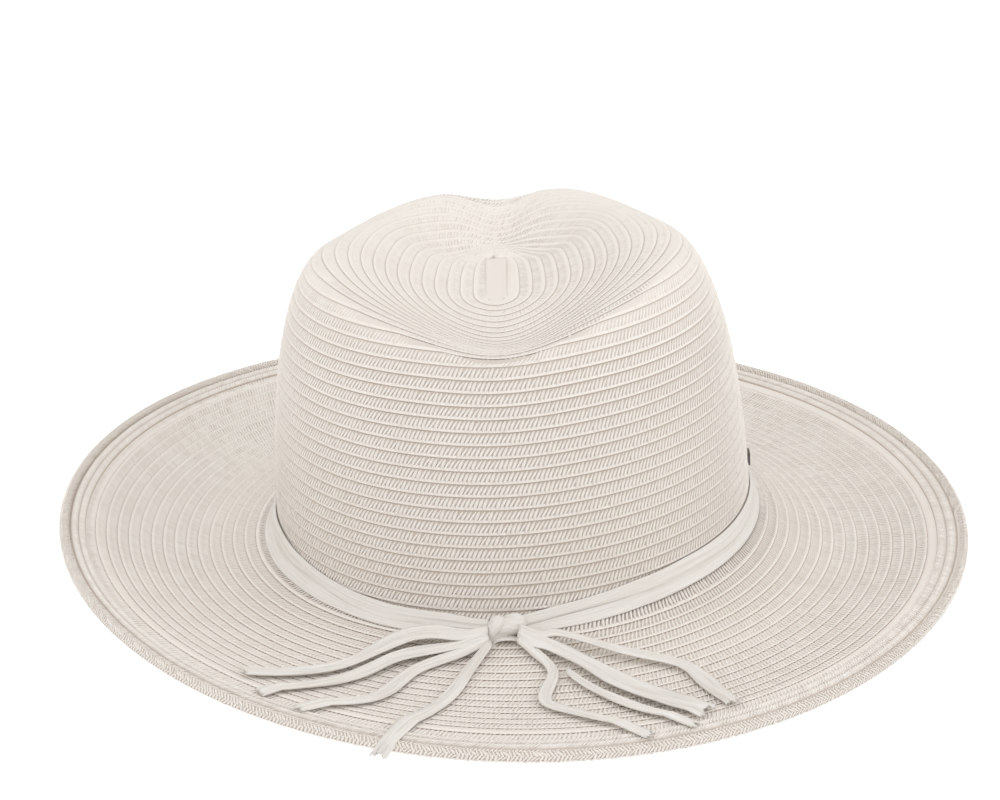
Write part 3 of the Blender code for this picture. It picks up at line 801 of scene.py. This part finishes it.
def makeStrands(name, first, last, reach, height, width, seed):
    starts, ends, faces = [], [], []
    for n in range(first, last):
        turns, step = evenTurns(n + 0.4, strands["spacing"])
        drift = rowDrift(turns)
        lean = strands["slant"] / step * np.gradient(turns)
        rim = np.minimum(n + drift + reach[1], lastRow + 0.0)
        inner, faceA = onRows(n + drift + reach[0], turns - lean / 2)
        outer, faceB = onRows(rim, turns + lean / 2)
        starts.append(inner + faceA * sectionHeight(reach[0], n)[..., None])
        ends.append(outer + faceB * sectionHeight(reach[1], n)[..., None])
        faces.append(faceA + faceB)
    starts, ends, faces = (np.concatenate(part) for part in (starts, ends, faces))
    piece = makePoints(name, (starts + ends) / 2, ends - starts, faces)
    return bakeNodes(piece, yarnStrands, {
        "Paper": paperBraid, "Height": height, "Width": width, "Seed": seed})


def attach(piece, slot, *nodes):
    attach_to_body(piece, "root")
    if nodes:
        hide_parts(*nodes)
    return piece


footRow = rows["topRows"] + rows["wallRows"]
# name, first turn, last turn, CAD node, the strands' reach across the row, their height and width
stretches = (
    ("crownDent", -1, 13, "crown_braid", (0.00, 0.66), 0.00026, 0.00100),
    ("crownShoulder", 13, 22, "crown_braid", (0.12, 0.86), 0.00044, 0.00116),
    ("crownWall", 22, 30, "crown_braid", (0.12, 0.88), 0.00050, 0.00118),
    ("crownFoot", 30, footRow, "crown_braid", (0.12, 0.88), 0.00050, 0.00118),
    ("brimInner", footRow, footRow + 6, "brim_braid", (-0.03, 0.84), 0.00044, 0.00098),
    ("brimMiddle", footRow + 6, footRow + 11, "brim_braid", (-0.06, 0.94), 0.00034, 0.00108),
    ("brimOuter", footRow + 11, lastRow, "brim_braid", (-0.06, 0.94), 0.00034, 0.00108),
)
for number, (name, first, last, node, reach, height, width) in enumerate(stretches):
    lead = rows["firstTurn"] if first < 0 else 0.0
    attach(makeRows(name + "Rows", first, last, lead), "paper_braid", node)
    laid = makeStrands(name + "Strands", max(first, 0), last, reach, height, width, number + 1)
    attach(laid, "paper_braid")
    print(f"{name}: rows {first} to {last}")

startStrip = {
    "halfWidth": 0.0037,
    "aside": -0.0014,
    "back": 0.0185,
    "front": -0.0150,
    "foldFront": -0.0205,
    "foldHalfWidth": 0.0064,
    "lift": -0.0002,
    "thickness": 0.0010,
    # painted shade in the gaps across the strip's front edge
    "gapTone": 0.8,
}


def makeStartStrip():
    y = np.linspace(startStrip["back"], startStrip["foldFront"], 40)
    wide = np.interp(y, [startStrip["foldFront"], startStrip["front"]],
                     [startStrip["foldHalfWidth"], startStrip["halfWidth"]])
    v = np.linspace(-1, 1, 9)
    edge = np.where(np.abs(v) > 0.7, 0.25, 0.0) * mm
    top = []
    for yi, wi in zip(y, wide):
        x = v * wi + startStrip["aside"]
        turn = math.asin(np.clip(yi / (crown["startHalfLength"] + crown["startHalfWidth"]), -1, 1))
        up = crown["startHeight"] + crown["startRise"] * math.sin(turn) + startStrip["lift"] + edge
        up = up - 0.12 * np.maximum(-yi - 0.0165, 0)
        c, s = math.cos(crown["tilt"]), math.sin(crown["tilt"])
        top.append(np.stack([x * c - up * s, 0 * x + yi, up * c + x * s], -1))
    top = np.array(top)
    under = top[:, ::-1] - np.array([0, 0, startStrip["thickness"]])
    rings = np.concatenate([top, under], axis=1)
    zero = np.zeros(rings.shape[:2])
    # Painted shade: dark gaps across the front edge and a faint groove tint all over; the darker tone (shade
    # 0.4) stands in for the shade of the strands the strip lacks
    gaps = np.where((np.abs(v) > 0.2) & (np.abs(v) < 0.8), startStrip["gapTone"], 0.0)
    groove = zero + 0.04
    groove[-1, :] = np.concatenate([gaps, gaps])
    return makeTube("startStrip", rings, paperBraid, attributes={"shade": zero + 0.4, "groove": groove})


attach(makeStartStrip(), "paper_braid", "crown_start_strip")

edge = {
    "rollRadius": 0.0020,
    "coreRadius": 0.00160,
    "drop": 0.0009,
    "strandSpacing": 0.0012,
    "strandLength": 0.0022,
    "sides": 14,
    "steps": 700,
    "columns": (-100, -50, 0, 50, 100, 150),    # strands round the roll, in degrees up from outward
    "lean": 0.75,
    "rollYarn": {"Height": 0.00046, "Width": 0.00078, "Wobble": 0.32, "Uneven": 0.4, "Seed": 31},
    "hemYarn": {"Height": 0.00034, "Width": 0.00095, "Seed": 41},
    "hemGap": 0.0002,
    "hemTuck": 0.12,        # of a row, under the last sewn one
    # share of the way out, height in mm, how much painted shade
    "hemSection": (
        (0.0, 0.10, 0.5), (0.05, 0.42, 0.0), (0.20, 0.50, 0.0), (0.40, 0.42, 0.0), (0.47, 0.20, 0.3),
        (0.50, 0.12, 0.5), (0.56, 0.40, 0.1), (0.75, 0.48, 0.0), (0.93, 0.36, 0.0), (1.0, -0.1, 0.5),
        (1.2, -0.4, 0.6), (1.2, -0.9, 1.0), (0.5, -0.7, 1.0), (0.0, -0.5, 1.0),
    ),
    # each of the two flat rows: share of the way out at its ends, height in mm
    "hemRows": ((0.04, 0.44, 0.45), (0.52, 0.94, 0.42)),
}


def hemSides(phi):
    outer = brimPoint(-math.pi / 2 - phi, brim["width"] - 2 * edge["rollRadius"] - edge["hemGap"])
    return onRows(lastRow - edge["hemTuck"] + 0 * phi, phi)[0], outer


def rollCentre(turn):
    return brimPoint(turn, brim["width"] - edge["rollRadius"]) - np.array([0, 0, edge["drop"]])


def makeHem():
    # The last two flat rows, smooth, up to the groove beside the roll
    phi = np.linspace(0, 2 * math.pi, edge["steps"], endpoint=False)
    inner, outer = hemSides(phi)
    share, lift, shadeAmount = (np.array(column) for column in zip(*edge["hemSection"]))
    rings = inner[:, None] + (outer - inner)[:, None] * share[None, :, None]
    rings[:, :, 2] += lift[None, :] * mm
    zero = np.zeros(rings.shape[:2])
    # Painted shade: the groove between the two rows, the edges and the tucked underside seen beside the roll
    # are darkened
    attributes = {"shade": zero, "groove": zero + shadeAmount[None, :]}
    return makeTube("brimHem", rings, paperBraid, closed=True, attributes=attributes)


def makeRoll():
    phi = np.linspace(0, 2 * math.pi, edge["steps"], endpoint=False)
    turn = -math.pi / 2 - phi
    centre = rollCentre(turn)
    out = np.stack([np.cos(turn), np.sin(turn), 0 * turn], -1)
    up = np.array([0.0, 0.0, 1.0])
    a = np.linspace(0, 2 * math.pi, edge["sides"], endpoint=False)
    rings = centre[:, None] + edge["coreRadius"] * (
        np.cos(a)[None, :, None] * out[:, None] + np.sin(a)[None, :, None] * up)
    zero = np.zeros(rings.shape[:2])
    # The core is painted half-dark, as shade between the strands laid round it
    core = makeTube("edgeRollCore", rings, paperBraid, closed=True,
                    attributes={"shade": zero + 0.3, "groove": zero + 0.5})
    # Slanted strands round the roll, alternate columns leaning against each other
    phi, centre = np.append(phi, 2 * math.pi), np.concatenate([centre, centre[:1]])
    reach = np.concatenate([[0], np.cumsum(np.linalg.norm(np.diff(centre, axis=0), axis=1))])
    count = int(reach[-1] / edge["strandSpacing"])
    places, lies, faces = [], [], []
    for row, angle in enumerate(np.radians(edge["columns"])):
        at = (np.arange(count) + 0.5 * (row % 2)) / count * reach[-1]
        spot = np.interp(at, reach, phi)
        turnAt = -math.pi / 2 - spot
        middle = rollCentre(turnAt)
        outAt = np.stack([np.cos(turnAt), np.sin(turnAt), 0 * turnAt], -1)
        alongAt = np.stack([np.sin(turnAt), -np.cos(turnAt), 0 * turnAt], -1)
        face = math.cos(angle) * outAt + math.sin(angle) * up
        round_ = -math.sin(angle) * outAt + math.cos(angle) * up
        lean = edge["lean"] if row % 2 else -edge["lean"]
        lie = (round_ + lean * alongAt) * edge["strandLength"] / math.hypot(1, lean)
        places.append(middle + face * edge["coreRadius"])
        lies.append(lie)
        faces.append(face)
    piece = makePoints("edgeRollStrands", *(np.concatenate(p) for p in (places, lies, faces)))
    return core, bakeNodes(piece, yarnStrands, {"Paper": paperBraid, **edge["rollYarn"]})


def makeHemStrands():
    starts, ends = [], []
    for low, high, lift in edge["hemRows"]:
        phi, step = evenTurns(lastRow, edge["strandSpacing"])
        lean = strands["slant"] / step * np.gradient(phi)
        for store, share, aside in ((starts, low, -0.5), (ends, high, 0.5)):
            inner, outer = hemSides(phi + aside * lean)
            store.append(inner + (outer - inner) * share + np.array([0, 0, lift * mm]))
    starts, ends = np.concatenate(starts), np.concatenate(ends)
    piece = makePoints("hemStrands", (starts + ends) / 2, ends - starts, 0 * ends + np.array([0.0, 0.0, 1.0]))
    return bakeNodes(piece, yarnStrands, {"Paper": paperBraid, **edge["hemYarn"]})


attach(makeHem(), "paper_braid")
attach(makeHemStrands(), "paper_braid")
core, rollStrands = makeRoll()
attach(core, "paper_braid", "brim_edge_roll")
attach(rollStrands, "paper_braid")
print("edge rolled")

band = {
    "thickness": 0.0008,
    "gap": 0.0004,
    # name, CAD node, lower and upper edge as shares of the band's height, lift over the one below, seed
    "ribbons": (("bandRibbonLower", "band_ribbon_lower", 0.00, 0.60, 0.0, 5),
                ("bandRibbonUpper", "band_ribbon_upper", 0.46, 1.00, 0.0006, 8)),
    # angle past the knot in degrees, lower edge and upper edge along the hat from its foot, in mm
    "edges": ((0, -2.6, 2.4), (4, -2.4, 3.6), (12, -1.6, 5.6), (30, 0.0, 8.2), (45, 0.4, 9.2),
              (110, 0.5, 8.6), (180, 0.6, 8.2), (235, 0.4, 8.4), (290, -1.2, 8.6), (308, -1.6, 7.0),
              (321, -2.2, 5.4),
              (334, -3.3, 4.3), (348, -3.3, 4.2), (354, -2.8, 3.0), (360, -2.6, 2.4)),
    "knotAngle": math.radians(-92.6),
    "knotHalf": math.radians(3.0),
    "steps": 620,
    "across": 18,
}


def footLine(turn, s):
    # Along the hat from its foot: up the wall for s above 0, out over the brim below 0
    wall = placeCrown(turn, *wallPoint(turn, np.maximum(s, 0.0)))
    return np.where((s > 0)[..., None], wall, brimPoint(turn, np.maximum(-s, 0.0)))


def offFoot(turn, s, lift):
    turn, s, lift = np.broadcast_arrays(turn, s, lift)
    across = footLine(turn, s + 0.0015) - footLine(turn, s - 0.0015)
    along = footLine(turn + 0.01, s) - footLine(turn - 0.01, s)
    out = np.cross(along, across)
    out /= np.linalg.norm(out, axis=-1, keepdims=True)
    return footLine(turn, s) + out * lift[..., None]


def makeBandRibbon(name, node, low, high, over, seed):
    start = band["knotAngle"] + band["knotHalf"]
    turns = np.linspace(start, start + 2 * math.pi - 2 * band["knotHalf"], band["steps"])[:, None]
    past, bottom, top = zip(*band["edges"])
    angle = np.degrees(turns - band["knotAngle"])
    bottom, top = np.interp(angle, past, bottom) * mm, np.interp(angle, past, top) * mm
    reach = (turns - turns[0]) * crown["halfWidth"] * 1.08
    sway = 0.05 * np.sin(turns * 5 + seed) + 0.04 * np.sin(turns * 11 + 2 * seed)
    low, high = low + sway * (low > 0), high + sway * (high < 1)
    f = np.linspace(0, 1, band["across"])[None, :]
    s = bottom + (top - bottom) * (low + (high - low) * f)
    crease = ribbonCreases(f + 0.14 * turns, reach, seed, folds=1.3)
    fine = ribbonCreases(f + 0.05 * turns, reach, seed + 40, folds=4.0)
    bulge = np.sin(np.pi * np.clip(f, 0.02, 0.98)) ** 0.4
    lap = over * (1 - f) ** 0.5
    lift = band["gap"] + lap + bulge * band["thickness"] * (0.8 + 0.25 * crease + 0.12 * fine)
    outer = offFoot(turns, s, lift)
    inner = offFoot(turns, s, band["gap"] + lap - 0.0001)
    rings = np.concatenate([outer, inner[:, ::-1]], axis=1)
    u = np.repeat(reach, 2 * f.size, 1)
    w = np.concatenate([f, f[:, ::-1]], axis=1) * 0.005 + seed * 0.01 + 0 * u
    piece = makeTube(name, rings, paperRibbon, lay=np.stack([u, w], -1))
    return attach(piece, "paper_ribbon", node)


for ribbon in band["ribbons"]:
    makeBandRibbon(*ribbon)

knot = {
    "height": 0.0040,
    # sideways, outward and upward of the band; long direction; length, width, depth
    "bundles": {
        "knotWrap": ("knot_wrap", (0.0010, 0.0056, -0.0018), (1.0, 0.0, 0.40), (0.0136, 0.0068, 0.0068), 17),
        "knotLobe": ("knot_lobe", (-0.0030, 0.0066, -0.0030), (0.45, 0.0, 1.0), (0.0122, 0.0052, 0.0060), 23),
    },
    "loopPlace": (0.0018, 0.0086, -0.0058),
    "loopHalf": (0.0048, 0.0016, 0.0017),
    "loopWall": 0.0006,
}


def knotPoint(sideways, outward, upward):
    out, up = wallPoint(band["knotAngle"], knot["height"])
    base = placeCrown(band["knotAngle"], out, up)
    return Vector((float(base[0]) + sideways, float(base[1]) - outward, float(base[2]) + upward))


def makeBundle(name, node, place, direction, size, seed):
    centre = knotPoint(*place)
    length, width, depth = size
    along = Vector(direction).normalized()
    out = Vector((math.cos(band["knotAngle"]), math.sin(band["knotAngle"]), 0.0))
    side = along.cross(out).normalized()
    out = side.cross(along).normalized()
    t = np.linspace(-0.5, 0.5, 28)
    full = np.clip(1 - (np.abs(2 * t)) ** 3.2, 0.04, 1) ** 0.5
    a = np.linspace(0, 2 * math.pi, 36, endpoint=False)
    twist = a[None, :] / (2 * math.pi) + 0.35 * t[:, None]
    crease = 1 + 0.05 * np.cos(2 * np.pi * twist * 5 + seed) + 0.07 * np.cos(2 * np.pi * twist * 3)
    crease = crease + 0.05 * np.cos(2 * np.pi * twist * 11 + 2 * seed)
    rings = []
    for i in range(len(t)):
        ring = np.array(centre)[None] + np.array(along)[None] * (t[i] * length)
        ring = ring + np.array(side)[None] * (np.cos(a) * full[i] * crease[i] * width / 2)[:, None]
        ring = ring + np.array(out)[None] * (np.sin(a) * full[i] * crease[i] * depth / 2)[:, None]
        rings.append(ring)
    lay = np.stack(np.broadcast_arrays(t[:, None] * length, a[None, :] * width / 2), -1)
    return attach(makeTube(name, np.array(rings), paperRibbon, lay=lay), "paper_ribbon", node)


for name, (node, place, direction, size, seed) in knot["bundles"].items():
    makeBundle(name, node, place, direction, size, seed)


def makeLoop():
    middle = np.array(knotPoint(*knot["loopPlace"]))
    rings = []
    a = np.linspace(0, 2 * math.pi, 40, endpoint=False)
    b = np.linspace(0, 2 * math.pi, 10, endpoint=False)
    half = knot["loopHalf"]
    for angle in a:
        ray = np.array([math.cos(angle), 0, math.sin(angle)])
        spine = middle + np.array([half[0] * ray[0], 0, half[2] * ray[2]])
        wall = knot["loopWall"] * np.cos(b)[:, None] * ray[None]
        rings.append(spine + wall + np.stack([0 * b, half[1] * np.sin(b), 0 * b], -1))
    lay = np.stack(np.broadcast_arrays(a[:, None] * half[0], b[None, :] * half[1]), -1)
    loop = makeTube("knotLoop", np.array(rings), paperRibbon, closed=True, lay=lay)
    return attach(loop, "paper_ribbon", "knot_loop")


makeLoop()
print("band tied")

sweatband = {
    "low": 0.004,
    "height": 0.028,
    "inset": 0.0024,        # in from the crown's wall
    "thickness": 0.0008,
    "gap": 0.0006,          # butt joint, covered by the tab
    "tabWidth": 0.014,
    "tabMargin": 0.003,
    "tabClearance": 0.0006,
}


def makeLining(name, node, centre, half, low, high, inset, steps):
    turns = np.linspace(centre - half, centre + half, steps)
    heights = np.linspace(low, high, 9)
    bead = np.where((np.arange(9) == 0) | (np.arange(9) == 8), 0.6, 1.0)
    away = np.stack([np.cos(turns), np.sin(turns), 0 * turns], -1)
    layers = []
    for depth in (inset, inset + sweatband["thickness"]):
        wall = placeCrown(turns[:, None], *wallPoint(turns[:, None], heights[None, :]))
        share = bead if depth > inset else 0 * bead + 1
        layers.append(wall - away[:, None] * (inset + (depth - inset) * share)[None, :, None])
    rings = np.concatenate([layers[0], layers[1][:, ::-1]], axis=1)
    u = np.repeat((turns * 0.092)[:, None], 18, 1)
    w = np.concatenate([heights, heights[::-1]])[None, :] + 0 * u
    piece = makeTube(name, rings, twillTape, lay=np.stack([u, w], -1))
    return attach(piece, "cotton_lining", node)


joint = math.pi / 2
gapTurn = sweatband["gap"] / crown["halfLength"] / 2
low, high = sweatband["low"], sweatband["low"] + sweatband["height"]
makeLining("sweatbandTape", "sweatband", joint + math.pi, math.pi - gapTurn, low, high,
           sweatband["inset"], 240)
tabInset = sweatband["inset"] + sweatband["thickness"] + sweatband["tabClearance"]
tabTurn = sweatband["tabWidth"] / 2 / crown["halfLength"]
margin = sweatband["tabMargin"]
makeLining("sweatbandTabTape", "sweatband_tab", joint, tabTurn, low + margin, high - margin, tabInset, 12)

metals = (
    ("brim_wire", "springSteelWire", "9A9B9E", 0.35),
    ("wire_joiner", "aluminiumFerrule", "B9BABC", 0.42),
    ("side_badge", "darkNickelPlate", "4A4A4C", 0.38),
)
for node, name, colour, roughness in metals:
    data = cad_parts[node].data
    data.materials.clear()
    data.materials.append(metalMaterial(name, colour, roughness))
print("lining and metal done")

studio = {
    "world": 0.72,
    "floorGlow": 0.90,
    "floorDrop": 0.0015,
    # place, width of the soft disk, power
    "lamps": {"overheadLight": ((0.1, -0.2, 2.2), 2.4, 8.4), "rightLight": ((1.5, -0.4, 0.9), 1.2, 4.0),
              "leftLight": ((-1.6, -0.3, 0.9), 1.2, 2.6), "frontLight": ((-0.3, -1.7, 1.5), 1.4, 5.0)},
}


def makeStudio():
    scene = bpy.context.scene
    scene.view_settings.view_transform = "Standard"
    world = bpy.data.worlds.new("studioWorld")
    world.use_nodes = True
    world.node_tree.nodes["Background"].inputs[0].default_value = hexColour("FFFEFD")
    world.node_tree.nodes["Background"].inputs[1].default_value = studio["world"]
    scene.world = world
    z = cadBox[0][2] - studio["floorDrop"]
    side = 6.0
    mesh = bpy.data.meshes.new("studioFloor")
    corners = [(-side, -side, z), (side, -side, z), (side, side, z), (-side, side, z)]
    mesh.from_pydata(corners, [], [(0, 1, 2, 3)])
    made, tree, shader = newMaterial("whiteBackdropPaper", 0.9)
    shader.inputs["Base Color"].default_value = (0.20, 0.20, 0.20, 1.0)
    shader.inputs["Emission Color"].default_value = (1.0, 1.0, 1.0, 1.0)
    shader.inputs["Emission Strength"].default_value = studio["floorGlow"]
    mesh.materials.append(made)
    floor = bpy.data.objects.new("studioFloor", mesh)
    scene.collection.objects.link(floor)
    for name, (place, size, power) in studio["lamps"].items():
        light = bpy.data.lights.new(name, "AREA")
        light.shape = "DISK"
        light.size = size
        light.energy = power
        lamp = bpy.data.objects.new(name, light)
        lamp.location = place
        lamp.rotation_euler = Vector(place).to_track_quat("Z", "Y").to_euler()
        scene.collection.objects.link(lamp)


makeStudio()
